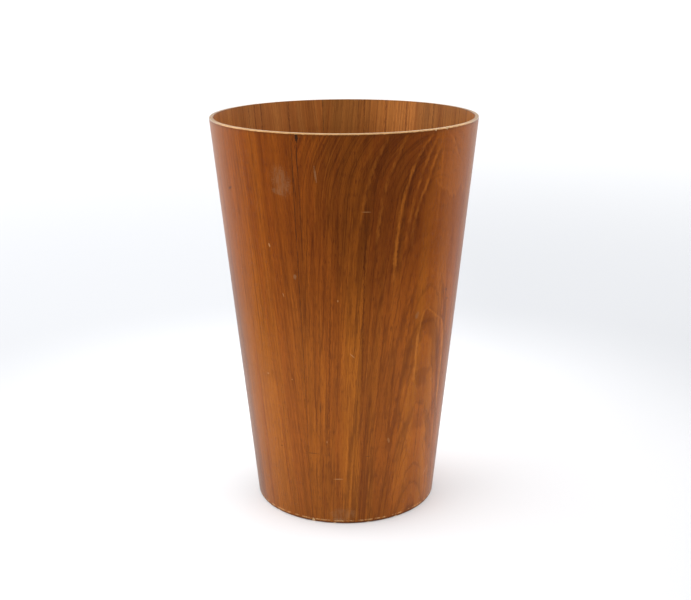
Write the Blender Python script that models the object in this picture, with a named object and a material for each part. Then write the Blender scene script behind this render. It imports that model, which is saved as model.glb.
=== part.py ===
"""Round, tapered wastebasket of bent teak plywood, in metres, +Z up, standing on z = 0.

The wall is five plies wound round one cone: teak face leaves outside and inside, a pale crossband
behind each face, and a core. Their ends meet at one scarfed seam. The base is a five-ply disc
whose edge is cut to the wall's taper, so that it wedges part of the way down and is glued there.
Azimuth 0 is the front, at -Y, and it grows towards +X.
"""

import math

import bmesh
import bpy

# Overall size, measured on the outside face of the wall.
HEIGHT = 0.380
TOP_RADIUS = 0.1265
BOTTOM_RADIUS = 0.0890

# Wall plies. Glued faces stand one glue line apart.
GLUE_LINE = 0.0001
FACE_VENEER = 0.0006
CROSSBAND = 0.0008
CORE = 0.0008

# Worn rounds on the rim. The foot's rounds run up to the core, so the wall stands on its core.
RIM_OUTER_ROUND = 0.0013
RIM_INNER_ROUND = 0.0005
ROUND_STEPS = 3

# The seam where the bent sheet's ends meet, and the joints between face leaves, as azimuths.
SEAM_AZIMUTH = -21.0
SCARF_SLOPE = 3.0
OUTSIDE_JOINTS = (99.0, 219.0)
INSIDE_JOINTS = (70.5, 190.5)

# Base disc. Its underside is held clear of the floor by the wall.
BASE_RECESS = 0.008
BASE_VENEER = 0.0006
BASE_CROSSBAND = 0.0012
BASE_CORE = 0.0024

SEGMENTS = 120
FULL_TURN = 360.0
SHARP_EDGE = math.radians(25)

# Derived places.
TAPER = math.atan2(TOP_RADIUS - BOTTOM_RADIUS, HEIGHT)
WALL = 2 * FACE_VENEER + 2 * CROSSBAND + CORE + 4 * GLUE_LINE
FOOT_ROUND = FACE_VENEER + CROSSBAND + 2 * GLUE_LINE
SEAM_GAP = math.degrees(GLUE_LINE / TOP_RADIUS)

# Finishes, each a colour and a roughness. The faces are oiled teak, and the underside is bare.
TEAK_OUTSIDE = ((0.235, 0.080, 0.022), 0.42)
TEAK_INSIDE = ((0.270, 0.110, 0.040), 0.48)
TEAK_UNDERSIDE = ((0.270, 0.110, 0.040), 0.60)
PALE_PLY = ((0.690, 0.470, 0.270), 0.65)
CORE_PLY = ((0.500, 0.330, 0.190), 0.65)


def wall_radius(depth, height):
    """Radius of the surface this deep behind the wall's outside face, at this height."""
    outside = BOTTOM_RADIUS + (TOP_RADIUS - BOTTOM_RADIUS) * height / HEIGHT
    return outside - depth / math.cos(TAPER)


def fall(depth, outer_round, inner_round):
    """How far a wall end with two rounded corners falls back from its flat, at this depth."""
    for radius, into in ((outer_round, depth), (inner_round, WALL - depth)):
        if into < radius:
            return radius - math.sqrt(radius**2 - (radius - into) ** 2)
    return 0.0


def stations(near, far, outer_round, inner_round):
    """Depths where a ply's end turns: at its two faces, and along the rounds between them."""
    turns = [step * math.pi / 2 / ROUND_STEPS for step in range(1, ROUND_STEPS + 1)]
    depths = [outer_round * (1 - math.cos(turn)) for turn in turns]
    depths += [WALL - inner_round * (1 - math.cos(turn)) for turn in reversed(turns)]
    return [near, *(depth for depth in depths if near < depth < far), far]


def ply_section(near, thickness):
    """Outline of one wall ply in the XZ plane, from the rim's outer corner round to the foot's."""
    far = near + thickness
    rounds = (RIM_OUTER_ROUND, RIM_INNER_ROUND)
    outline = [(depth, HEIGHT - fall(depth, *rounds)) for depth in stations(near, far, *rounds)]
    rounds = (FOOT_ROUND, FOOT_ROUND)
    foot = [(depth, fall(depth, *rounds)) for depth in stations(near, far, *rounds)]
    outline += reversed(foot)
    return [(wall_radius(depth, height), 0.0, height) for depth, height in outline]


def add_object(name, bm, material, parent, location=(0, 0, 0), azimuth=0.0):
    """Make a named object of this bmesh, turned so that its +X side faces the azimuth."""
    bmesh.ops.recalc_face_normals(bm, faces=bm.faces[:])
    mesh = bpy.data.meshes.new(name)
    bm.to_mesh(mesh)
    bm.free()
    mesh.shade_smooth()
    mesh.set_sharp_from_angle(angle=SHARP_EDGE)
    mesh.materials.append(material)
    obj = bpy.data.objects.new(name, mesh)
    obj.location = location
    obj.rotation_euler.z = math.radians(azimuth - 90)
    obj.parent = parent
    parent.users_collection[0].objects.link(obj)
    return obj


def add_wall_piece(name, near, thickness, start, end, material, parent):
    """Sweep a ply's section round the axis from one azimuth to another, less the glue there."""
    bm = bmesh.new()
    corners = [bm.verts.new(point) for point in ply_section(near, thickness)]
    face = bm.faces.new(corners)
    sweep = end - start - SEAM_GAP
    bmesh.ops.spin(
        bm,
        geom=[face, *face.edges, *corners],
        cent=(0, 0, 0),
        axis=(0, 0, 1),
        angle=math.radians(sweep),
        steps=round(SEGMENTS * sweep / FULL_TURN),
    )
    add_object(name, bm, material, parent, azimuth=start + SEAM_GAP / 2)


def seam_azimuth(depth):
    """Azimuth of the scarfed seam at this depth, which runs back as it goes through the wall."""
    return SEAM_AZIMUTH - math.degrees(SCARF_SLOPE * depth / TOP_RADIUS)


def add_wall(parent):
    """The face leaves, crossbands and core, from the outside in."""
    depth = 0.0
    leaves = ("outside_leaf_front", "outside_leaf_back", "outside_leaf_left")
    teak = add_material("teak_outside", TEAK_OUTSIDE)
    add_leaves(leaves, depth, OUTSIDE_JOINTS, teak, parent)
    depth += FACE_VENEER + GLUE_LINE

    for name, thickness, finish in (
        ("outer_crossband", CROSSBAND, PALE_PLY),
        ("core_ply", CORE, CORE_PLY),
        ("inner_crossband", CROSSBAND, PALE_PLY),
    ):
        seam = seam_azimuth(depth)
        veneer = add_material(name, finish)
        add_wall_piece(name, depth, thickness, seam, seam + FULL_TURN, veneer, parent)
        depth += thickness + GLUE_LINE

    leaves = ("inside_leaf_front", "inside_leaf_right", "inside_leaf_left")
    teak = add_material("teak_inside", TEAK_INSIDE)
    add_leaves(leaves, depth, INSIDE_JOINTS, teak, parent)


def add_leaves(names, depth, joints, material, parent):
    """Face leaves edge to edge round the wall, starting and ending at the scarfed seam."""
    seam = seam_azimuth(depth)
    edges = [seam, *joints, seam + FULL_TURN]
    for name, start, end in zip(names, edges, edges[1:]):
        add_wall_piece(name, depth, FACE_VENEER, start, end, material, parent)


def add_base_ply(name, bottom, thickness, material, parent):
    """One round ply of the base. Its edge keeps a glue line to the wall's taper."""
    inner = WALL + GLUE_LINE
    bm = bmesh.new()
    bmesh.ops.create_cone(
        bm,
        cap_ends=True,
        segments=SEGMENTS,
        radius1=wall_radius(inner, bottom),
        radius2=wall_radius(inner, bottom + thickness),
        depth=thickness,
    )
    add_object(name, bm, material, parent, location=(0, 0, bottom + thickness / 2))


def add_base(parent):
    """The base disc's plies, from the underside up."""
    bottom = BASE_RECESS
    for name, thickness, finish in (
        ("base_underside_veneer", BASE_VENEER, TEAK_UNDERSIDE),
        ("base_lower_crossband", BASE_CROSSBAND, PALE_PLY),
        ("base_core", BASE_CORE, CORE_PLY),
        ("base_upper_crossband", BASE_CROSSBAND, PALE_PLY),
        ("base_floor_veneer", BASE_VENEER, TEAK_INSIDE),
    ):
        veneer = add_material(name, finish)
        add_base_ply(name, bottom, thickness, veneer, parent)
        bottom += thickness + GLUE_LINE


def add_material(name, finish):
    """Bare or oiled wood, as a colour and a roughness."""
    colour, roughness = finish
    material = bpy.data.materials.new(name)
    material.use_nodes = True
    shader = material.node_tree.nodes["Principled BSDF"]
    shader.inputs["Base Color"].default_value = (*colour, 1.0)
    shader.inputs["Roughness"].default_value = roughness
    shader.inputs["Metallic"].default_value = 0.0
    return material


def main():
    for obj in list(bpy.data.objects):
        bpy.data.objects.remove(obj)
    collection = bpy.data.collections.new("wastebasket")
    bpy.context.scene.collection.children.link(collection)
    wastebasket = bpy.data.objects.new("wastebasket", None)
    collection.objects.link(wastebasket)
    add_wall(wastebasket)
    add_base(wastebasket)


main()
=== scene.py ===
"""Looks of the round teak plywood wastebasket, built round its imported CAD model, in metres, +Z up.

Every ply of the wall is made again with a finer, slightly worn surface, in the place that its CAD node
gives. The base's CAD discs stay as they are and get wood materials. Azimuth 0 is the front, at -Y, and
it grows towards +X, in degrees. A share is a height on the wall as a part of the basket's height. A
depth runs inwards from the wall's outside face.
"""

import math

import bmesh
import bpy
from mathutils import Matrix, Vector, noise


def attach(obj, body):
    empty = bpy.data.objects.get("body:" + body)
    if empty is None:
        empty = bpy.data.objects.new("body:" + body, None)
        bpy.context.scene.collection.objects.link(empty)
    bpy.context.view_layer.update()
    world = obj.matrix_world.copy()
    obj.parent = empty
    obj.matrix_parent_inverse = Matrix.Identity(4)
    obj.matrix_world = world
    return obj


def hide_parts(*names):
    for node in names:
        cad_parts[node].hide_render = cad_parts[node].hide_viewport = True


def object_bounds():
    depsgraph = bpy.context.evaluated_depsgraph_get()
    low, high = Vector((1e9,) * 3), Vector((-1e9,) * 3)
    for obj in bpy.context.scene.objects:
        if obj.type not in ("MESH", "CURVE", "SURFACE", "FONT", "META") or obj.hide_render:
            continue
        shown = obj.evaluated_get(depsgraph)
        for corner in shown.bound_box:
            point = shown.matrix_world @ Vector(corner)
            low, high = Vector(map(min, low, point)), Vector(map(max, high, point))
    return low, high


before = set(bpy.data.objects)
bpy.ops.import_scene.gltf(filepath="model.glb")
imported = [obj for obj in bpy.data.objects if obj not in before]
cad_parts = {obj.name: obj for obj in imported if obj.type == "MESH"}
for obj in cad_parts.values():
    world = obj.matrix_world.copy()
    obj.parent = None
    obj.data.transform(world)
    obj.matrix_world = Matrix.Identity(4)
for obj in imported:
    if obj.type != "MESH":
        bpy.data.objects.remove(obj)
cad_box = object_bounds()

MM = 0.001
BODY = "root"

# The wall's plies: its face leaves, then the bands between them, from the outside in.
OUTSIDE_LEAVES = ("outside_leaf_front", "outside_leaf_back", "outside_leaf_left")
INSIDE_LEAVES = ("inside_leaf_front", "inside_leaf_right", "inside_leaf_left")
WALL_BANDS = ("outer_crossband", "core_ply", "inner_crossband")


# ---------------------------------------------------------------- the wall's cone, from the frame


def section_points(node):
    """(radius, height) of each of a CAD node's vertices."""
    return [(math.hypot(v.co.x, v.co.y), v.co.z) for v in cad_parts[node].data.vertices]


def outside_cone():
    """Radius at z = 0 and widening of the wall's outside face, from an outside leaf's section."""
    points = section_points(OUTSIDE_LEAVES[0])
    widest, top = max(points)
    widening = min((widest - radius) / (top - z) for radius, z in points if z < top / 2)
    return widest - widening * top, widening


HEIGHT = cad_box[1].z
FOOT_RADIUS, WIDENING = outside_cone()
TAPER = math.atan(WIDENING)


def wall_radius(depth, z):
    """Radius of the surface this deep in the wall, at this height."""
    return FOOT_RADIUS + WIDENING * z - depth / math.cos(TAPER)


def depths(node):
    """The depths of a wall ply's outer and inner faces."""
    found = [(wall_radius(0, z) - radius) * math.cos(TAPER) for radius, z in section_points(node)]
    return min(found), max(found)


def sector(leaf):
    """First and last azimuth of a face leaf: its vertices leave one wide sector empty."""
    places = [v.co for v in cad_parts[leaf].data.vertices]
    turns = sorted(math.degrees(math.atan2(p.x, -p.y)) for p in places)
    following = [*turns[1:], turns[0] + 360]
    _, end, start = max((b - a, a, b) for a, b in zip(turns, following))
    start = (start + 180) % 360 - 180
    return start, start + (end - start) % 360


def seam_azimuth(depth):
    """Azimuth of the scarfed seam at this depth, between its places on the two face plies."""
    outside, inside = OUTSIDE_LEAVES[0], INSIDE_LEAVES[0]
    share = depth / depths(inside)[0]
    return sector(outside)[0] + share * (sector(inside)[0] - sector(outside)[0])


# ---------------------------------------------------------------- meshes

# Degrees from one column of points to the next.
COLUMN = 0.8
# How far the front leaf's outside face lies within the CAD's, and how uneven it is. Other faces have
# neither.
UNEVEN_LEAF = "outside_leaf_front"
SET_BACK = 0.06 * MM
UNEVEN = 0.05 * MM
UNEVEN_SCALE = 3
UNEVEN_HEIGHT = 0.1
SHARP_EDGE = math.radians(40)
# Points round each corner of an end, and rows down a face: close at the rim and foot, then even.
END_STEPS = 8
MIDDLE_ROWS = 8
ROWS_BELOW_RIM = [distance * MM for distance in (0.3, 0.7, 1.2, 1.8, 2.6, 4, 6, 9, 14, 22, 40)]
ROWS_ABOVE_FOOT = [distance * MM for distance in (0.4, 0.9, 1.6, 2.5, 4, 6, 9, 14, 22, 40)]
# Radii of the outer and inner corners.
RIM_ROUNDS = (1.3 * MM, 0.5 * MM)
FOOT_ROUNDS = (1.6 * MM, 1.6 * MM)
WALL = depths(INSIDE_LEAVES[0])[1]
# A ply's texture map: the strip of its section, the margin, and the start and width of its cut ends.
STRIP = 0.93
MARGIN = 0.01
CUT_ENDS = (0.955, 0.980)
CUT_END = 0.015
# How much of the strip a hidden face and a rounded end get for their length, against the seen face.
HIDDEN_FACE = 0.06
ROUNDED_END = 3.0
# A chip pulls the rows beside it along, as far as this many times its own reach.
CHIP_PULL = 2.5

# Chips out of the outside leaves: azimuth and width in degrees, and how far they reach in mm.
RIM_CHIPS = ((39.0, 1.8, 1.8), (45.5, 2.4, 2.4), (52.0, 1.8, 1.9), (-62.0, 2.0, 1.5), (156.0, 2.4, 1.8))
FOOT_CHIPS = ((-20.6, 1.8, 5.7), (-7.0, 2.0, 1.6), (14.0, 2.4, 1.4), (33.0, 2.0, 1.7), (-48.0, 2.0, 1.5))


def fall(depth, rounds):
    """How far a wall end with two rounded corners falls back from its flat, at this depth."""
    for radius, into in zip(rounds, (depth, WALL - depth)):
        if into < radius:
            return radius - math.sqrt(radius**2 - (radius - max(into, 0)) ** 2)
    return 0.0


def end_depths(near, far, rounds):
    """Depths across the end of a ply, closer together where the rounds are steep."""
    turns = [step * math.pi / 2 / END_STEPS for step in range(1, END_STEPS + 1)]
    found = [rounds[0] * (1 - math.cos(turn)) for turn in turns]
    found += [WALL - rounds[1] * (1 - math.cos(turn)) for turn in reversed(turns)]
    middle = (near + far) / 2
    return [near, *sorted({*(d for d in found if near < d < far), middle}), far]


def ply_outline(near, far):
    """(depth, z) round a wall ply's section: over the rim, down the inner face, under the foot, up."""
    rim = [(depth, HEIGHT - fall(depth, RIM_ROUNDS)) for depth in end_depths(near, far, RIM_ROUNDS)]
    foot = [(depth, fall(depth, FOOT_ROUNDS)) for depth in end_depths(near, far, FOOT_ROUNDS)]

    def face(depth):
        top, bottom = HEIGHT - fall(depth, RIM_ROUNDS), fall(depth, FOOT_ROUNDS)
        upper = [top - row for row in ROWS_BELOW_RIM]
        lower = [bottom + row for row in reversed(ROWS_ABOVE_FOOT)]
        step = (lower[0] - upper[-1]) / MIDDLE_ROWS
        middle = [upper[-1] + step * row for row in range(1, MIDDLE_ROWS)]
        return [(depth, z) for z in upper + middle + lower]

    return rim + face(far) + foot[::-1] + face(near)[::-1]


def strip_places(outline, seen):
    """Where each outline point lies across the ply's texture strip, most of it for the seen face."""
    lengths = []
    for (depth, z), (last_depth, last_z) in zip(outline, [outline[-1], *outline]):
        weight = ROUNDED_END
        if depth == last_depth:
            weight = 1.0 if depth == seen else HIDDEN_FACE
        lengths.append(weight * math.hypot(depth - last_depth, z - last_z))
    whole = sum(lengths)
    return [MARGIN + STRIP * sum(lengths[:i]) / whole for i in range(len(lengths) + 1)]


def chip_depth(chips, azimuth):
    """How far the chips of an edge reach from it at this azimuth."""
    reach = 0.0
    for place, width, size in chips:
        reach = max(reach, size * MM * (1 - abs(azimuth - place) / (width / 2)))
    return reach


def chipped(z, azimuth, chips_rim, chips_foot):
    """Where a point at this height goes, at this azimuth of the chipped rim and foot."""
    drop = chip_depth(chips_rim, azimuth)
    lift = chip_depth(chips_foot, azimuth)
    z -= drop * max(0.0, 1 - (HEIGHT - z) / (CHIP_PULL * drop)) if drop else 0
    z += lift * max(0.0, 1 - z / (CHIP_PULL * lift)) if lift else 0
    return z


def along_map(share):
    """Where a share of a ply's length, or of a cut end's, lies between the map's margins."""
    return MARGIN + (1 - 2 * MARGIN) * share


def sweep_ply(name, node, start, end, chips_rim=(), chips_foot=()):
    """One wall ply from azimuth to azimuth. Each point carries its azimuth, height and depth."""
    near, far = depths(node)
    outline = ply_outline(near, far)
    steps = round((end - start) / COLUMN)
    azimuths = [start + (end - start) * step / steps for step in range(steps + 1)]
    bm = bmesh.new()
    place = bm.verts.layers.float_vector.new("place")
    uv = bm.loops.layers.uv.new("OFBake")
    strip = strip_places(outline, near if near < WALL / 2 else far)
    columns = []
    for azimuth in azimuths:
        turn = math.radians(azimuth)
        column = []
        for depth, z in outline:
            z = chipped(z, azimuth, chips_rim, chips_foot)
            spot = Vector((math.sin(turn), -math.cos(turn), z / UNEVEN_HEIGHT))
            inset = SET_BACK + UNEVEN * noise.noise(spot * UNEVEN_SCALE) if node == UNEVEN_LEAF else 0
            radius = wall_radius(max(depth, inset), z)
            vert = bm.verts.new((radius * math.sin(turn), -radius * math.cos(turn), z))
            vert[place] = (azimuth, z / HEIGHT, depth / MM)
            column.append(vert)
        columns.append(column)
    for k, (left, right) in enumerate(zip(columns, columns[1:])):
        for i in range(len(outline)):
            face = bm.faces.new((left[i - 1], right[i - 1], right[i], left[i]))
            u, next_u = along_map(k / steps), along_map((k + 1) / steps)
            v, next_v = strip[i], strip[i + 1]
            for loop, spot in zip(face.loops, ((u, v), (next_u, v), (next_u, next_v), (u, next_v))):
                loop[uv].uv = spot
    for cap, v in zip((columns[0], columns[-1][::-1]), CUT_ENDS):
        for loop in bm.faces.new(cap).loops:
            _, share, depth = loop.vert[place]
            loop[uv].uv = (along_map(share), v + CUT_END * (depth * MM - near) / (far - near))
    return finish_piece(name, bm, node)


def finish_piece(name, bm, *nodes):
    """Makes the piece's object, smooth but for its sharp edges, standing for its CAD nodes."""
    bmesh.ops.recalc_face_normals(bm, faces=bm.faces[:])
    mesh = bpy.data.meshes.new(name)
    bm.to_mesh(mesh)
    bm.free()
    mesh.shade_smooth()
    mesh.set_sharp_from_angle(angle=SHARP_EDGE)
    piece = bpy.data.objects.new(name, mesh)
    bpy.context.scene.collection.objects.link(piece)
    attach(piece, BODY)
    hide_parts(*nodes)
    return piece


# ---------------------------------------------------------------- formulas as shader nodes

HAZE_ROUGHNESS = 0.35


class Value:
    """A number that a material works out at each point. Arithmetic on it adds nodes."""

    def __init__(self, tree, socket):
        self.tree = tree
        self.socket = socket

    def __add__(self, other):
        return calculate("ADD", self, other)

    def __sub__(self, other):
        return calculate("SUBTRACT", self, other)

    def __mul__(self, other):
        if self.socket.type == "VECTOR":
            return add_node("ShaderNodeVectorMath", self, other, operation="SCALE")
        return calculate("MULTIPLY", self, other)

    def __truediv__(self, other):
        return calculate("DIVIDE", self, other)

    def __rsub__(self, other):
        return calculate("SUBTRACT", other, self)

    __radd__ = __add__
    __rmul__ = __mul__


def feed(tree, socket, term):
    """Gives a node's input a value: another node's output, a number or a colour."""
    if isinstance(term, Value):
        tree.links.new(term.socket, socket)
    elif isinstance(term, tuple) and socket.type == "RGBA":
        socket.default_value = (*term, 1.0)
    else:
        socket.default_value = term


def add_node(kind, *terms, tree=None, output=0, **settings):
    """A node with these settings and inputs, as the value that it gives."""
    tree = tree or next(term.tree for term in terms if isinstance(term, Value))
    node = tree.nodes.new(kind)
    for setting, chosen in settings.items():
        setattr(node, setting, chosen)
    sockets = [socket for socket in node.inputs if socket.enabled]
    for socket, term in zip(sockets, terms):
        feed(tree, socket, term)
    outputs = [socket for socket in node.outputs if socket.enabled]
    return Value(tree, outputs[output])


def calculate(operation, *terms):
    return add_node("ShaderNodeMath", *terms, operation=operation)


def vector(x, y, z=0.0):
    return add_node("ShaderNodeCombineXYZ", x, y, z)


def ramp(value, low, high):
    """0 below low, 1 above high, and a smooth climb between. Low may be the greater."""
    return add_node("ShaderNodeMapRange", value, low, high, 0.0, 1.0, interpolation_type="SMOOTHSTEP")


def is_colour(term):
    return isinstance(term, tuple) or (isinstance(term, Value) and term.socket.type == "RGBA")


def blend(first, second, share):
    """A mix of two numbers or two colours, all of the second where share is 1."""
    kind = "RGBA" if is_colour(first) else "FLOAT"
    return add_node("ShaderNodeMix", share, first, second, data_type=kind)


def shaded(colour, light):
    """A colour made this many times as light."""
    grey = (light, light, light)
    if isinstance(light, Value):
        grey = add_node("ShaderNodeCombineColor", *grey)
    return add_node("ShaderNodeMix", 1.0, colour, grey, data_type="RGBA", blend_type="MULTIPLY")


def tinted(colour, tint, share):
    """A colour multiplied by a tint, all of it where share is 1."""
    return add_node("ShaderNodeMix", share, colour, tint, data_type="RGBA", blend_type="MULTIPLY")


def texture(place, detail=2.0, roughness=0.5):
    """Smooth noise about 0.5, with features one unit across."""
    return add_node("ShaderNodeTexNoise", place, 1.0, detail, roughness)


def streaks(across, along, width, length, seed, detail=2.0):
    """Noise drawn out along the grain: features about width by length, in metres."""
    return texture(vector(across / width, along / length, float(seed)), detail)


def attribute(tree, name):
    """The three parts of a mesh attribute."""
    parts = add_node("ShaderNodeAttribute", tree=tree, output=1, attribute_name=name)
    split = tree.nodes.new("ShaderNodeSeparateXYZ")
    tree.links.new(parts.socket, split.inputs[0])
    return [Value(tree, socket) for socket in split.outputs]


def new_material(name):
    material = bpy.data.materials.new(name)
    material.use_nodes = True
    return material


def finish_material(material, colour, roughness, height, ior=1.2, bump=0.1 * MM, haze=0.0):
    """Feeds the shader: height is the surface's relief, where 1 stands for bump metres.

    haze is the pale veil of dust and wear that an old finish shows at a glancing angle.
    """
    tree = material.node_tree
    shader = tree.nodes["Principled BSDF"]
    feed(tree, shader.inputs["Base Color"], colour)
    feed(tree, shader.inputs["Roughness"], roughness)
    shader.inputs["IOR"].default_value = ior
    shader.inputs["Sheen Weight"].default_value = haze
    shader.inputs["Sheen Roughness"].default_value = HAZE_ROUGHNESS
    relief = tree.nodes.new("ShaderNodeBump")
    relief.inputs["Distance"].default_value = bump
    feed(tree, relief.inputs["Height"], height)
    tree.links.new(relief.outputs[0], shader.inputs["Normal"])
    return material


# ---------------------------------------------------------------- woods

MIDDLE_RADIUS = wall_radius(0, HEIGHT / 2)
SPREAD = HEIGHT * WIDENING / MIDDLE_RADIUS


class Tones:
    """A teak's colours: its two main tones, its pores and ring edges, and its pale lines."""

    def __init__(self, gold, red, dark, pale):
        self.gold = gold
        self.red = red
        self.dark = dark
        self.pale = pale


OUTSIDE = Tones(
    gold=(0.302, 0.087, 0.0070),
    red=(0.254, 0.065, 0.0055),
    dark=(0.070, 0.014, 0.0018),
    pale=(0.540, 0.180, 0.0240),
)
INSIDE = Tones(
    gold=(0.400, 0.145, 0.0290),
    red=(0.330, 0.105, 0.0190),
    dark=(0.130, 0.036, 0.0080),
    pale=(0.520, 0.250, 0.0800),
)
UNDERSIDE = Tones(
    gold=(0.270, 0.125, 0.0480),
    red=(0.235, 0.100, 0.0360),
    dark=(0.100, 0.040, 0.0150),
    pale=(0.360, 0.190, 0.0900),
)
# Painted shade: a tint that deepens the colour of the outside's upper half, where less light and
# reflection fall.
DEEPENING_PAINTED_SHADE = (1.0, 0.85, 0.55)
# Bare wood with a painted highlight at the rim and foot: the rim's colour at the front and back, and
# where it is duller, at the sides.
WORN_EDGE_AND_HIGHLIGHT = (0.600, 0.330, 0.1300)
DULL_EDGE = (0.300, 0.200, 0.1200)
# The outside's faded, dusty wood below the rim, at the sides, together with a painted sheen: the pale
# haze that a glancing view mirrors there.
FADED_WOOD_AND_SHEEN = (0.320, 0.145, 0.0350)
SCUFF = (0.250, 0.125, 0.0550)
BARED = (0.450, 0.220, 0.0800)
# Dirt. It also paints the shade in the gap under the foot.
DIRT_AND_SHADE = (0.028, 0.012, 0.0050)
# The two tones of an inner ply's bare fibres.
PALE_PLY = ((0.66, 0.44, 0.230), (0.48, 0.29, 0.130))
CORE_PLY = ((0.46, 0.29, 0.155), (0.30, 0.175, 0.085))

# The wood's features: how wide they are across the grain and how long along it, in metres.
BEND = (0.05, 0.20)
WANDER = (0.004, 0.007)
BROAD_TONE = (0.012, 0.40)
NARROW_TONE = (0.0016, 0.10)
RING_PATCH = (0.010, 0.05)
RING_WANDER = (0.004, 0.5)
LONG_LINE = (0.0020, 0.22)
SHORT_LINE = (0.0009, 0.05)
PORE = (0.0005, 0.006)
PORE_CROWD = (0.006, 0.06)
FIBRE = (0.0006, 0.012)
FLECK = (0.0005, 0.016)
FADED_PATCH = (0.004, 0.06)
PLY_FIBRE = (0.0007, 0.02)
BASE_TONE = (0.010, 0.25)
BASE_LINE = (0.0016, 0.12)

# How far the log's slow bends and the fibres' wander move the grain, in metres.
BEND_REACH = 0.0025
WANDER_REACH = 0.0004
# The share of the height above which the front leaf's grain sweeps over.
SWEEP_START = 0.84

# How strongly each feature colours the wood, from 0 to 1.
LATE_WOOD, EARLY_WOOD = 0.22, 0.25
LONG_LINES, SHORT_LINES = 0.42, 0.30
NARROW_TONES = 0.28
OUTSIDE_FIBRES, OUTSIDE_PORES, OUTSIDE_FLECKS = 0.25, 0.42, 0.16
INSIDE_PORES, INSIDE_LINES = 0.40, 0.65
BASE_LINES, BASE_PORES, BASE_DUST = 0.45, 0.35, 0.35
# FOOT_SHADE is painted shade: how much darker the outside wall is made towards the foot.
FOOT_SHADE = 0.15
# The front leaf's figure: how strong and wide the dark wood beside a pale line is, then how far its
# pale and dark lines reach to each side.
FIGURE_SHADOW, FIGURE_SHADOW_WIDTH = 0.75, 0.0095
PALE_LINE_WIDTH, DARK_LINE_WIDTH = 0.0026, 0.0012
# The sine of an azimuth where the sides start to take the faded wood with its painted sheen, or the
# duller rim, and where they do so fully.
SIDES, FULL_SIDES, FULL_DULL_SIDES = 0.80, 1.0, 0.98


class Grain:
    """How a leaf was sliced from its log. Azimuths are in degrees and lengths in metres.

    straight: the azimuth where the grain runs straight down the wall. axis: the azimuth under which
    the log's middle lies, where the rings arch. pith: how far the slice runs from that middle. rise:
    how much that grows from foot to rim. sweep: extra growth near the rim. flat: 1 where the grain
    is straight on the leaf laid flat, 0 where it fans out with the cone. ring: width of a year's ring.
    """

    def __init__(self, straight, axis, pith, rise, sweep=0.0, flat=1.0, ring=0.0026):
        self.straight = straight
        self.axis = axis
        self.pith = pith
        self.rise = rise
        self.sweep = sweep
        self.flat = flat
        self.ring = ring


GRAINS = {
    "outside_leaf_front": Grain(44, 44, pith=0.190, rise=0.008, sweep=0.24, flat=0.0),
    "outside_leaf_back": Grain(150, 172, pith=0.120, rise=0.018),
    "outside_leaf_left": Grain(-83, 30, pith=0.130, rise=0.003, flat=0.65, ring=0.0023),
    "inside_leaf_front": Grain(15, 25, pith=0.130, rise=0.010),
    "inside_leaf_right": Grain(130, 40, pith=0.120, rise=0.003, ring=0.0030),
    "inside_leaf_left": Grain(-120, -10, pith=0.130, rise=0.004),
}


def follow(value, points):
    """A smooth curve through (value, result) points, level beyond its ends."""
    values, results = [point[0] for point in points], [point[1] for point in points]
    low, high, least, most = values[0], values[-1], min(results), max(results)
    most += 0.001
    position = add_node("ShaderNodeMapRange", value, low, high, 0.0, 1.0)
    result = add_node("ShaderNodeFloatCurve", 1.0, position)
    mapping = result.socket.node.mapping
    spots = [((at - low) / (high - low), (got - least) / (most - least)) for at, got in points]
    curve = mapping.curves[0]
    curve.points[0].location = spots[0]
    curve.points[-1].location = spots[-1]
    for spot in spots[1:-1]:
        curve.points.new(*spot)
    mapping.update()
    return result * (most - least) + least


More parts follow.
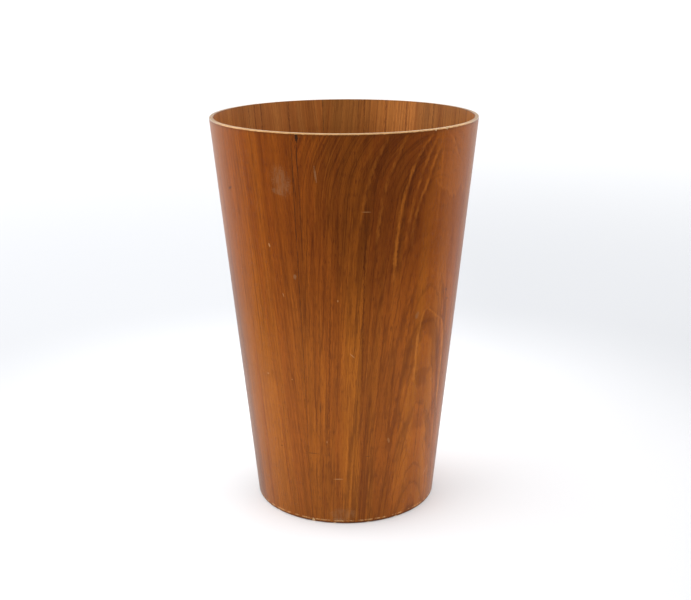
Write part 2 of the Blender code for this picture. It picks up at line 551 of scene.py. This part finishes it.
class Leaf:
    """The values that every part of a leaf's material starts from."""

    def __init__(self, material, leaf, seed):
        self.tree = material.node_tree
        self.seed = seed
        self.grain = GRAINS[leaf]
        self.start, self.end = sector(leaf)
        self.azimuth, self.share, _ = attribute(self.tree, "place")
        self.z = self.share * HEIGHT
        self.radius = MIDDLE_RADIUS * (1 + (self.share - 0.5) * SPREAD)
        turn = (self.azimuth - self.grain.straight) * math.radians(MIDDLE_RADIUS)
        self.across = turn * (1 + self.grain.flat * (self.share - 0.5) * SPREAD)
        self.spot = vector(self.azimuth * math.radians(MIDDLE_RADIUS), self.z)

    def log_distance(self):
        """Distance from the log's middle, with its slow bends and the fibres' small wander."""
        grain, seed = self.grain, self.seed
        bend = streaks(self.across, self.z, *BEND, seed + 0.5, 1.0) - 0.5
        wander = streaks(self.across, self.z, *WANDER, seed + 0.7) - 0.5
        axis = math.radians(grain.axis - grain.straight) * MIDDLE_RADIUS
        side = self.across - axis + bend * BEND_REACH
        over = calculate("MAXIMUM", self.share - SWEEP_START, 0.0)
        pith = grain.pith + (self.share - 0.5) * grain.rise + over * over * grain.sweep
        return calculate("SQRT", side * side + pith * pith) + wander * WANDER_REACH

    def thin_lines(self, coordinate, spacing, length, width, seed):
        """Thin lines along the grain that wander, fork and break up."""
        field = streaks(coordinate, self.z, spacing, length, self.seed + seed, 1.0)
        return ramp(calculate("ABSOLUTE", field - 0.5), width, 0.0)

    def near(self, azimuth):
        """Whether the leaf covers this azimuth, whole turns apart."""
        return 0 <= (azimuth - self.start) % 360 <= self.end - self.start

    def side_of(self, line):
        """Distance to the right of a line down the leaf, of (azimuth, height) points from low to high."""
        jag = texture(vector(self.azimuth * 0.8, self.z / 0.004), 2.0) - 0.5
        azimuth = follow(self.share, [(share, azimuth) for azimuth, share in line])
        return (self.azimuth - azimuth) * self.radius * math.radians(1) + jag * 0.0030

    def within(self, line, soft=0.04):
        """1 between a line's ends, fading to 0 a little beyond them."""
        low, high = line[0][1], line[-1][1]
        return ramp(self.share, low - soft, low + soft) * ramp(self.share, high + soft, high - soft)

    def marks(self, kind, ragged=0.35):
        """How much of this kind of mark a point has. ragged is how uneven the marks' outlines are."""
        rough = (texture(self.spot * 800.0, 2.0) - 0.5) * (4 * ragged)
        total = 0.0
        for mark_kind, azimuth, share, width, height, lean, strength in MARKS:
            if mark_kind != kind or not self.near(azimuth):
                continue
            centre = (math.radians(azimuth) * MIDDLE_RADIUS, share * HEIGHT, 0.0)
            size = (width * MM / 2, height * MM / 2, 1.0)
            turned = (0.0, 0.0, math.radians(lean))
            spot = add_node("ShaderNodeMapping", self.spot, centre, turned, size, vector_type="TEXTURE")
            reach = add_node("ShaderNodeVectorMath", spot, operation="LENGTH")
            total = calculate("MAXIMUM", total, ramp(reach + rough, 1.25, 0.55) * strength)
        return total


# Wear on the outside: kind, azimuth, height, width and length in mm, lean in degrees, strength.
MARKS = (
    ("dark", -18.6, 0.990, 2.6, 9.0, 0, 0.95),
    ("dark", -18.9, 0.940, 1.0, 26.0, 0, 0.75),
    ("dark", -18.6, 0.800, 0.9, 90.0, 0, 0.45),
    ("dark", -20.5, 0.880, 0.8, 30.0, 4, 0.45),
    ("dark", -58.5, 0.850, 7.0, 2.5, 25, 0.60),
    ("dark", 57.7, 0.594, 4.0, 1.2, -20, 0.75),
    ("dark", 60.0, 0.568, 5.0, 1.2, -15, 0.75),
    ("dark", -13.2, 0.325, 1.0, 12.0, 0, 0.60),
    ("dark", -39.0, 0.200, 4.0, 1.2, 8, 0.60),
    ("dark", -19.5, 0.197, 17.0, 1.0, 2, 0.45),
    ("dark", 12.7, 0.191, 5.0, 0.8, 0, 0.60),
    ("scuff", -26.6, 0.888, 15.0, 26.0, 12, 0.34),
    ("scuff", -28.0, 0.862, 12.0, 6.0, -15, 0.42),
    ("scuff", -11.6, 0.908, 1.6, 15.0, 6, 0.50),
    ("scuff", -22.8, 0.660, 3.0, 5.0, 0, 0.55),
    ("scuff", 36.8, 0.551, 4.0, 8.0, -15, 0.40),
    ("scuff", -1.5, 0.028, 30.0, 13.0, 0, 0.32),
    ("scuff", -4.0, 0.012, 18.0, 4.0, 0, 0.55),
    ("nick", 9.0, 0.820, 8.0, 0.7, -2, 0.55),
    ("nick", -35.0, 0.730, 1.6, 4.0, 15, 0.85),
    ("nick", -29.5, 0.610, 0.9, 4.0, 15, 0.80),
    ("nick", -21.0, 0.750, 0.9, 2.0, 0, 0.80),
    ("nick", -3.2, 0.605, 1.1, 2.2, 0, 0.85),
    ("nick", -44.0, 0.392, 2.4, 1.3, 0, 0.85),
    ("nick", -28.2, 0.392, 1.3, 1.3, 0, 0.75),
    ("nick", 52.5, 0.364, 3.0, 1.5, 0, 0.60),
    ("nick", 24.5, 0.228, 2.5, 6.0, 20, 0.40),
    ("nick", -10.2, 0.232, 1.0, 3.0, 0, 0.80),
    ("nick", 3.5, 0.465, 0.8, 6.5, 45, 0.95),
    ("nick", -4.2, 0.129, 11.0, 1.0, 2, 0.75),
    ("nick", 57.5, 0.100, 14.0, 1.2, 38, 0.60),
)

# The front leaf's figure: how strong a line is, then its (azimuth, height) points from low to high.
PALE_FIGURE = (
    (0.45, (14.0, 0.74), (16, 0.85), (18.5, 0.90), (25, 0.99)),
    (0.75, (22.5, 0.66), (24, 0.80), (28, 0.90), (31, 0.94), (37, 0.985)),
    (0.65, (30.5, 0.76), (33, 0.83), (36, 0.87), (39, 0.92), (43, 0.97)),
    (0.45, (7.0, 0.80), (9.5, 0.88), (13, 0.94), (17, 0.985)),
    (0.45, (27.5, 0.74), (30, 0.83), (34, 0.91), (40, 0.98)),
    (0.20, (44, 0.76), (44.3, 0.85), (44, 0.98)),
    (0.30, (60, 0.905), (55, 0.93), (50, 0.97), (46, 0.99)),
    (0.40, (38, 0.38), (38.5, 0.50), (40, 0.54), (42.5, 0.56)),
    (0.45, (61.5, 0.30), (60, 0.45), (57, 0.51), (51, 0.535), (44, 0.56)),
)
DARK_FIGURE = (
    (0.50, (-9.5, 0.15), (-8, 0.40), (-6.5, 0.62)),
    (0.60, (8.5, 0.38), (8.5, 0.55), (9, 0.74)),
    (0.50, (44, 0.16), (44, 0.33)),
    (0.30, (67, 0.42), (67, 0.92)),
)
# The foot of the paler, more golden wood at the top of the arch, as (azimuth, height) points.
FLAME = ((38, 0.90), (45, 0.86), (50, 0.845), (55, 0.83), (60, 0.85), (66, 0.835), (75, 0.86))
# Painted light and shade on the outside near the rim, as (azimuth, lightness) points: darkest at the
# front.
PAINTED_LIGHT_TOP = (
    (-90, 0.82),
    (-50, 0.93),
    (-37, 0.90),
    (-12, 0.78),
    (5, 0.60),
    (27, 0.63),
    (45, 0.82),
    (75, 0.90),
)
# The same painted light and shade in the lower half.
PAINTED_LIGHT_FOOT = (
    (-90, 0.44),
    (-70, 0.64),
    (-45, 1.14),
    (-20, 1.12),
    (3, 1.22),
    (11, 1.08),
    (30, 1.24),
    (50, 1.26),
    (75, 1.0),
)
# Painted light and shade on each inside leaf, over its whole height, as (azimuth, lightness) points.
INSIDE_PAINTED_LIGHT = {
    "inside_leaf_front": ((-25, 1.0), (70, 1.1)),
    "inside_leaf_right": (
        (70, 0.85),
        (120, 0.72),
        (138, 0.85),
        (150, 1.30),
        (165, 1.12),
        (178, 0.88),
        (190, 0.95),
    ),
    "inside_leaf_left": ((-169, 1.10), (-150, 1.08), (-132, 0.98), (-115, 0.88), (-26, 1.0)),
}
# Azimuths of the inside leaves' darkest lines.
INSIDE_DARK_LINES = {
    "inside_leaf_right": (132, 148, 159, 170),
    "inside_leaf_left": (-152, -136, -132, -128),
}
# How red the outside wood is, as (azimuth, redness) points, where 0 is gold. The back leaf has one.
REDNESS = (
    (-100, 0.3),
    (-60, 0.2),
    (-35, 0.4),
    (-22, 0.6),
    (-8, 0.4),
    (6, 0.3),
    (10, 0.7),
    (30, 0.7),
    (50, 0.4),
)
BACK_REDNESS = 0.5
INSIDE_REDNESS = {"inside_leaf_front": 0.60, "inside_leaf_right": 0.25, "inside_leaf_left": 0.60}


def ring_colour(leaf, tones, distance, redness, contrast=1.0, arched=1.0):
    """Teak's own figure: broad tones, year rings with sharp dark edges, and lines of pores.

    contrast is how strong its lines are, and arched how strong its year rings are.
    """
    seed, along = leaf.seed, leaf.z
    count = distance / leaf.grain.ring
    count = count + streaks(distance, along, *RING_WANDER, seed + 0.9) * 0.8
    ring = calculate("FRACT", count)
    chance = add_node("ShaderNodeTexWhiteNoise", vector(calculate("FLOOR", count), seed + 0.3))
    patchy = ramp(streaks(distance, along, *RING_PATCH, seed + 1.5), 0.40, 0.62)
    strength = ramp(chance, 0.2, 1.0) * (0.35 + 0.65 * patchy) * arched
    late = ramp(ring, 0.45, 0.97) * strength
    early = ramp(ring, 0.20, 0.04) * strength
    broad = streaks(leaf.across, along, *BROAD_TONE, seed + 1)
    narrow = streaks(distance, along, *NARROW_TONE, seed + 1.2)
    long_lines = leaf.thin_lines(distance, *LONG_LINE, 0.045, 2)
    short_lines = leaf.thin_lines(distance, *SHORT_LINE, 0.060, 3)
    colour = blend(tones.gold, tones.red, ramp(broad + (redness - 0.5) * 0.35, 0.36, 0.64))
    colour = shaded(colour, 1.0 + NARROW_TONES * contrast * (ramp(narrow, 0.28, 0.72) - 0.5))
    colour = blend(colour, tones.dark, late * LATE_WOOD)
    colour = blend(colour, tones.pale, early * EARLY_WOOD)
    colour = blend(colour, tones.dark, long_lines * LONG_LINES * contrast)
    return blend(colour, tones.dark, short_lines * SHORT_LINES * contrast)


def pores_of(leaf):
    """Teak's open pores: short dark dashes along the grain, more crowded in places."""
    fine = streaks(leaf.across, leaf.z, *PORE, leaf.seed + 5, 1.0)
    crowd = ramp(streaks(leaf.across, leaf.z, *PORE_CROWD, leaf.seed + 6, 1.0), 0.30, 0.70)
    return ramp(fine, 0.56, 0.66) * (0.35 + 0.65 * crowd)


def with_figure(leaf, colour, tones):
    """The strong arched lines that only the front leaf shows."""
    for strength, *line in DARK_FIGURE:
        thin = ramp(calculate("ABSOLUTE", leaf.side_of(line)), DARK_LINE_WIDTH, 0.0)
        colour = blend(colour, tones.dark, thin * leaf.within(line) * strength)
    flame = follow(leaf.azimuth, FLAME)
    jag = texture(vector(leaf.azimuth * 0.5, leaf.z / 0.02, leaf.seed + 8.0), 3.0) - 0.5
    over = ramp(leaf.share + jag * 0.05, flame, flame + 0.012)
    among = ramp(leaf.azimuth, 38.0, 45.0) * ramp(leaf.azimuth, 74.0, 60.0)
    colour = blend(colour, tones.pale, over * among * 0.20)
    edge = ramp(calculate("ABSOLUTE", leaf.share + jag * 0.05 - flame - 0.004), 0.008, 0.0)
    colour = blend(colour, tones.pale, edge * among * 0.30)
    patchy = ramp(texture(vector(leaf.azimuth * 0.4, leaf.z / 0.012, leaf.seed + 9.0), 2.0), 0.35, 0.60)
    for strength, *line in PALE_FIGURE:
        side = leaf.side_of(line)
        here = leaf.within(line) * (0.25 + 0.75 * patchy) * strength
        shadow = ramp(side, 0.0006, 0.0018) * ramp(side, FIGURE_SHADOW_WIDTH, 0.0015)
        pale_line = ramp(calculate("ABSOLUTE", side), PALE_LINE_WIDTH, 0.0004)
        colour = blend(colour, tones.dark, shadow * here * FIGURE_SHADOW)
        colour = blend(colour, tones.pale, pale_line * here)
    return colour


def joint_line(leaf):
    """The thin line of dirt where a leaf meets its neighbours, strongest in places."""
    edge = calculate("MINIMUM", leaf.azimuth - leaf.start, leaf.end - leaf.azimuth)
    reach = edge * leaf.radius * math.radians(1)
    uneven = texture(vector(leaf.share * 40.0, leaf.seed + 0.2), 3.0)
    faded = 0.35 + 0.65 * ramp(leaf.share, 0.35, 0.70)
    return ramp(reach, 0.0009, 0.0002) * (0.12 + 0.48 * ramp(uneven, 0.40, 0.65)) * faded


def at_sides(azimuth, start, end):
    """1 at the basket's sides, 0 at its front and back. The climb goes by the azimuth's sine."""
    return ramp(calculate("ABSOLUTE", calculate("SINE", azimuth * math.radians(1))), start, end)


def outside_teak(name, seed):
    """Oiled teak that has darkened with age and use: scuffed, nicked and worn pale at its edges."""
    material = new_material("teak_" + name)
    leaf = Leaf(material, name, seed)
    redness = follow(leaf.azimuth, REDNESS) if name != "outside_leaf_back" else BACK_REDNESS
    contrast, arched = (0.72 if name == "outside_leaf_left" else 1.0), 1.0
    if name == "outside_leaf_front":
        plain = ramp(leaf.azimuth, 28.0, 40.0) * ramp(leaf.share, 0.55, 0.75)
        contrast, arched = 1.0 - 0.65 * plain, 1.0 - 0.95 * plain
    colour = ring_colour(leaf, OUTSIDE, leaf.log_distance(), redness, contrast, arched)
    if name == "outside_leaf_front":
        colour = with_figure(leaf, colour, OUTSIDE)
    fibres = streaks(leaf.across, leaf.z, *FIBRE, seed + 4)
    pores = pores_of(leaf)
    lines = ramp(fibres, 0.40, 0.75) * OUTSIDE_FIBRES + pores * OUTSIDE_PORES
    colour = blend(colour, OUTSIDE.dark, lines)
    flecks = streaks(leaf.across, leaf.z, *FLECK, seed + 7, 1.0)
    colour = blend(colour, OUTSIDE.pale, ramp(flecks, 0.56, 0.74) * OUTSIDE_FLECKS)

    # Painted light and shade by azimuth and height, painted shade towards the foot, then the upper half's
    # painted deeper shade.
    height = ramp(leaf.share, 0.40, 0.84)
    painted_light = blend(follow(leaf.azimuth, PAINTED_LIGHT_FOOT), follow(leaf.azimuth, PAINTED_LIGHT_TOP), height)
    colour = shaded(colour, painted_light * (1.0 - FOOT_SHADE * ramp(leaf.share, 0.32, 0.03)))
    colour = tinted(colour, DEEPENING_PAINTED_SHADE, height)
    # Faded wood and painted sheen: a paler, greyer tan at the sides below the rim.
    patchy = ramp(streaks(leaf.across, leaf.z, *FADED_PATCH, seed + 8), 0.35, 0.65)
    faded = at_sides(leaf.azimuth, SIDES, FULL_SIDES) * ramp(leaf.share, 0.55, 0.95)
    colour = blend(colour, FADED_WOOD_AND_SHEEN, faded * (0.08 + 0.20 * patchy))

    scuffs, nicks, dents = leaf.marks("scuff"), leaf.marks("nick", 0.15), leaf.marks("dark", 0.25)
    smear = texture(vector(leaf.azimuth * 0.9, leaf.z / 0.007, seed + 7.5), 3.0)
    scuffs = scuffs * (0.35 + 0.75 * ramp(smear, 0.36, 0.60))
    colour = blend(colour, DIRT_AND_SHADE, joint_line(leaf))
    colour = blend(colour, SCUFF, scuffs)
    colour = blend(colour, BARED, nicks * 0.85)
    colour = blend(colour, DIRT_AND_SHADE, dents)
    colour = with_worn_ends_and_painted_light(leaf, colour)
    relief = 1.0 - pores * 0.5 - nicks * 0.8 - dents * 0.5
    return finish_material(material, colour, 0.28 + scuffs * 0.25 + fibres * 0.08, relief, haze=0.07)


def with_worn_ends_and_painted_light(leaf, colour):
    """Bare wood with a painted highlight along the rounded rim and, in places, just above the foot;
    darker just below the rim, and painted shade under the foot.
    """
    ragged = texture(leaf.spot * 700.0, 3.0) - 0.5
    broken = ramp(texture(leaf.spot * 180.0, 2.0), 0.42, 0.60)
    rim = ramp(leaf.z + ragged * 0.0010, HEIGHT - 0.0011, HEIGHT - 0.0008)
    dull = at_sides(leaf.azimuth, SIDES, FULL_DULL_SIDES)
    foot = ramp(calculate("ABSOLUTE", leaf.z - 0.0032 + ragged * 0.0016), 0.0010, 0.0003) * broken
    # Painted shade: the shadow gap under the rounded foot, darkening the lowest 3 mm and most below 1 mm.
    colour = blend(colour, DIRT_AND_SHADE, ramp(leaf.z, 0.0030, 0.0010) * 0.6)
    # Bare wood and a painted highlight: a broken pale line just above the foot.
    colour = blend(colour, WORN_EDGE_AND_HIGHLIGHT, foot * 0.60)
    grey = ramp(leaf.z + ragged * 0.002, HEIGHT - 0.004, HEIGHT - 0.001) * 0.25
    colour = blend(colour, DIRT_AND_SHADE, grey)
    # Bare wood and a painted highlight on the rounded rim, duller at the sides.
    return blend(colour, blend(WORN_EDGE_AND_HIGHLIGHT, DULL_EDGE, dull), rim * (0.75 + 0.25 * broken))


def inside_teak(name, seed):
    """Lighter teak than the outside, with clear year rings, a few darker lines and no polish."""
    material = new_material("teak_" + name)
    leaf = Leaf(material, name, seed)
    colour = ring_colour(leaf, INSIDE, leaf.log_distance(), INSIDE_REDNESS[name], arched=1.3)
    pores = pores_of(leaf)
    colour = blend(colour, INSIDE.dark, pores * INSIDE_PORES)
    for azimuth in INSIDE_DARK_LINES.get(name, ()):
        side = leaf.side_of([(azimuth, 0.0), (azimuth, 1.0)])
        line = ramp(calculate("ABSOLUTE", side), 0.0011, 0.0002)
        colour = blend(colour, INSIDE.dark, line * INSIDE_LINES)
    # Painted light and shade by azimuth.
    colour = shaded(colour, follow(leaf.azimuth, INSIDE_PAINTED_LIGHT[name]))
    colour = blend(colour, DIRT_AND_SHADE, joint_line(leaf))
    rim = ramp(leaf.z, HEIGHT - 0.0012, HEIGHT - 0.0002)
    colour = blend(colour, DIRT_AND_SHADE, rim * 0.35)
    return finish_material(material, colour, 0.45 + pores * 0.1, 1.0 - pores * 0.5)


def band_wood(name, colours, seed, along_wall):
    """Bare inner plies, seen at the rim and foot: fibres run round the wall, or up and down it."""
    material = new_material("wood_" + name)
    azimuth, share, depth = attribute(material.node_tree, "place")
    turn = azimuth * math.radians(MIDDLE_RADIUS)
    along, across = (turn, share * HEIGHT) if along_wall else (share * HEIGHT, turn)
    lines = streaks(across + depth * MM, along, *PLY_FIBRE, seed)
    specks = ramp(texture(vector(turn / 0.0006, depth / 0.5, seed + 0.5), 1.0), 0.60, 0.70)
    soiled = ramp(texture(vector(turn / 0.008, depth / 2.0, seed + 1.5), 3.0), 0.50, 0.75)
    colour = blend(*colours, ramp(lines, 0.35, 0.70))
    colour = blend(colour, DULL_EDGE, at_sides(azimuth, SIDES, FULL_DULL_SIDES) * 0.75)
    colour = blend(colour, DIRT_AND_SHADE, specks * 0.25 + soiled * 0.25)
    return finish_material(material, colour, 0.60, lines)


def base_teak(name, tones, seed):
    """A straight-grained leaf of the base, with its grain from front to back and dust at its edge."""
    material = new_material("teak_" + name)
    place = add_node("ShaderNodeTexCoord", tree=material.node_tree, output=3)
    split = material.node_tree.nodes.new("ShaderNodeSeparateXYZ")
    material.node_tree.links.new(place.socket, split.inputs[0])
    across, along, _ = (Value(material.node_tree, socket) for socket in split.outputs)
    broad = streaks(across, along, *BASE_TONE, seed)
    lines = streaks(across, along, *BASE_LINE, seed + 1)
    pores = ramp(streaks(across, along, *PORE, seed + 2, 1.0), 0.58, 0.68)
    dust = ramp(add_node("ShaderNodeVectorMath", place, operation="LENGTH"), 0.066, 0.084)
    colour = blend(tones.gold, tones.red, ramp(broad, 0.36, 0.64))
    colour = blend(colour, tones.dark, ramp(lines, 0.45, 0.75) * BASE_LINES + pores * BASE_PORES)
    colour = blend(colour, DIRT_AND_SHADE, dust * BASE_DUST)
    return finish_material(material, colour, 0.55, 1.0 - pores * 0.5)


def base_ply(name, colours):
    """An inner ply of the base, with fine specks."""
    material = new_material("wood_" + name)
    place = add_node("ShaderNodeTexCoord", tree=material.node_tree, output=3)
    specks = texture(place * 600.0, 2.0)
    colour = blend(*colours, ramp(specks, 0.35, 0.70))
    return finish_material(material, colour, 0.60, specks)


def add_wall():
    """The wall's face leaves, then the bands between them, which all start and end at the seam."""
    gap = 360 - (sector(OUTSIDE_LEAVES[2])[1] - sector(OUTSIDE_LEAVES[0])[0]) % 360
    for seed, leaf in enumerate(OUTSIDE_LEAVES + INSIDE_LEAVES):
        outside = leaf in OUTSIDE_LEAVES
        chips = (RIM_CHIPS, FOOT_CHIPS) if outside else ()
        piece = sweep_ply(leaf + "_wood", leaf, *sector(leaf), *chips)
        piece.data.materials.append((outside_teak if outside else inside_teak)(leaf, 10 * seed))
    for seed, band in enumerate(WALL_BANDS):
        start = seam_azimuth(depths(band)[0])
        piece = sweep_ply(band + "_wood", band, start, start + 360 - gap)
        core = band == "core_ply"
        piece.data.materials.append(band_wood(band, CORE_PLY if core else PALE_PLY, 80 + seed, not core))


def add_base():
    """The base's CAD discs keep their shape and get real wood."""
    finishes = {
        "base_underside_veneer": base_teak("base_underside_veneer", UNDERSIDE, 101),
        "base_lower_crossband": base_ply("base_lower_crossband", PALE_PLY),
        "base_core": base_ply("base_core", CORE_PLY),
        "base_upper_crossband": base_ply("base_upper_crossband", PALE_PLY),
        "base_floor_veneer": base_teak("base_floor_veneer", INSIDE, 105),
    }
    for ply, material in finishes.items():
        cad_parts[ply].material_slots[0].material = material


# ---------------------------------------------------------------- studio

# The floor's colour under the basket, further off, and far away: a painted pool of light about the
# basket, a greyer middle and a paler distance.
FLOOR_NEAR = (0.86, 0.86, 0.86)
FLOOR_MIDDLE = (0.56, 0.565, 0.575)
FLOOR_FAR = (0.64, 0.64, 0.64)
FLOOR = ((-20, -20), (20, 20))
# The dark flags in front, at the left and at the right, each as two corners, and their height.
FLAGS = (
    ((-6, -6), (6, -0.42)),
    ((-6, -0.42), (-0.40, 0.08)),
    ((0.40, -0.42), (6, 0.08)),
)
FLAG_HEIGHT = 0.002
# Brightness of the studio's soft light from each side, and of the backdrop that the camera sees.
LIGHT_FRONT, LIGHT_LEFT, LIGHT_RIGHT, LIGHT_BACK, LIGHT_ABOVE = 0.5, 4.6, 3.2, 2.2, 0.9
BACKDROP = 1.05
LIGHT_COLOUR = (0.97, 0.98, 1.0, 1.0)
# The camera: its place, its tilt down and its roll in degrees, and its lens in mm.
CAMERA_PLACE = (0.00057, -1.07755, 0.51805)
CAMERA_TILT = 16.547
CAMERA_ROLL = -0.275
LENS = 59.37
SENSOR = 36


def add_sheets(name, z, *sheets):
    """Level rectangles, each from one corner to the far one, as one object of the stage."""
    bm = bmesh.new()
    for (x0, y0), (x1, y1) in sheets:
        bm.faces.new([bm.verts.new((x, y, z)) for x, y in ((x0, y0), (x1, y0), (x1, y1), (x0, y1))])
    mesh = bpy.data.meshes.new(name)
    bm.to_mesh(mesh)
    bm.free()
    sheet = bpy.data.objects.new(name, mesh)
    bpy.context.scene.collection.objects.link(sheet)
    return sheet


def add_floor():
    """A pale floor with a painted pool of light about the basket and a painted shadow to its right, and
    dark flags on it that only reflections meet.

    The flags stand for the dim studio in front and at the sides, which the wall's sheen mirrors.
    """
    floor = add_sheets("floor", 0.0, FLOOR)
    material = new_material("pale_floor")
    tree = material.node_tree
    shader = tree.nodes["Principled BSDF"]
    place = add_node("ShaderNodeTexCoord", tree=tree, output=3)
    far = add_node("ShaderNodeVectorMath", place, operation="LENGTH")
    pale = blend(FLOOR_NEAR, FLOOR_MIDDLE, ramp(far, 0.15, 0.70))
    pale = blend(pale, FLOOR_FAR, ramp(far, 0.8, 2.5))
    split = tree.nodes.new("ShaderNodeSeparateXYZ")
    tree.links.new(place.socket, split.inputs[0])
    # Painted shadow: the floor is made darker to the right of the basket.
    right = ramp(Value(tree, split.outputs[0]), 0.0, 0.25) * ramp(far, 3.0, 0.8)
    feed(tree, shader.inputs["Base Color"], shaded(pale, 1.0 - 0.10 * right))
    shader.inputs["Roughness"].default_value = 0.8
    floor.data.materials.append(material)

    flags = add_sheets("dark_flags", FLAG_HEIGHT, *FLAGS)
    material = new_material("flag_black")
    shader = material.node_tree.nodes["Principled BSDF"]
    shader.inputs["Base Color"].default_value = (0.02, 0.02, 0.02, 1)
    shader.inputs["Roughness"].default_value = 1.0
    flags.data.materials.append(material)
    flags.visible_camera = False
    flags.visible_diffuse = False
    flags.visible_shadow = False


def add_world():
    """Soft light from all round, dim in front. The camera sees an even pale backdrop."""
    world = bpy.data.worlds.new("studio")
    bpy.context.scene.world = world
    world.use_nodes = True
    tree = world.node_tree
    direction = add_node("ShaderNodeTexCoord", tree=tree, output=0)
    split = tree.nodes.new("ShaderNodeSeparateXYZ")
    tree.links.new(direction.socket, split.inputs[0])
    right, back, up = (Value(tree, socket) for socket in split.outputs)
    glow = blend(LIGHT_LEFT, LIGHT_RIGHT, ramp(right, -0.15, 0.15)) * ramp(up, 0.0, 0.25)
    glow = blend(glow, LIGHT_FRONT, ramp(back, -0.45, -0.80))
    glow = blend(glow, LIGHT_BACK, ramp(back, 0.45, 0.80))
    glow = blend(glow, LIGHT_ABOVE, ramp(up, 0.55, 0.75))
    seen = add_node("ShaderNodeLightPath", tree=tree, output=0)
    background = tree.nodes["Background"]
    background.inputs["Color"].default_value = LIGHT_COLOUR
    feed(tree, background.inputs["Strength"], blend(glow, BACKDROP, seen))


def add_camera():
    """The camera of the photograph, as fitted to the basket's outline."""
    data = bpy.data.cameras.new("camera")
    data.lens = LENS
    data.sensor_width = SENSOR
    data.clip_end = 100
    camera = bpy.data.objects.new("camera", data)
    camera.location = CAMERA_PLACE
    camera.rotation_mode = "XYZ"
    camera.rotation_euler = (math.radians(90 - CAMERA_TILT), 0, 0)
    bpy.context.scene.collection.objects.link(camera)
    camera.rotation_euler.rotate_axis("Z", math.radians(CAMERA_ROLL))
    bpy.context.scene.camera = camera
    bpy.context.scene.view_settings.view_transform = "Standard"


add_wall()
add_base()
add_floor()
add_world()
add_camera()
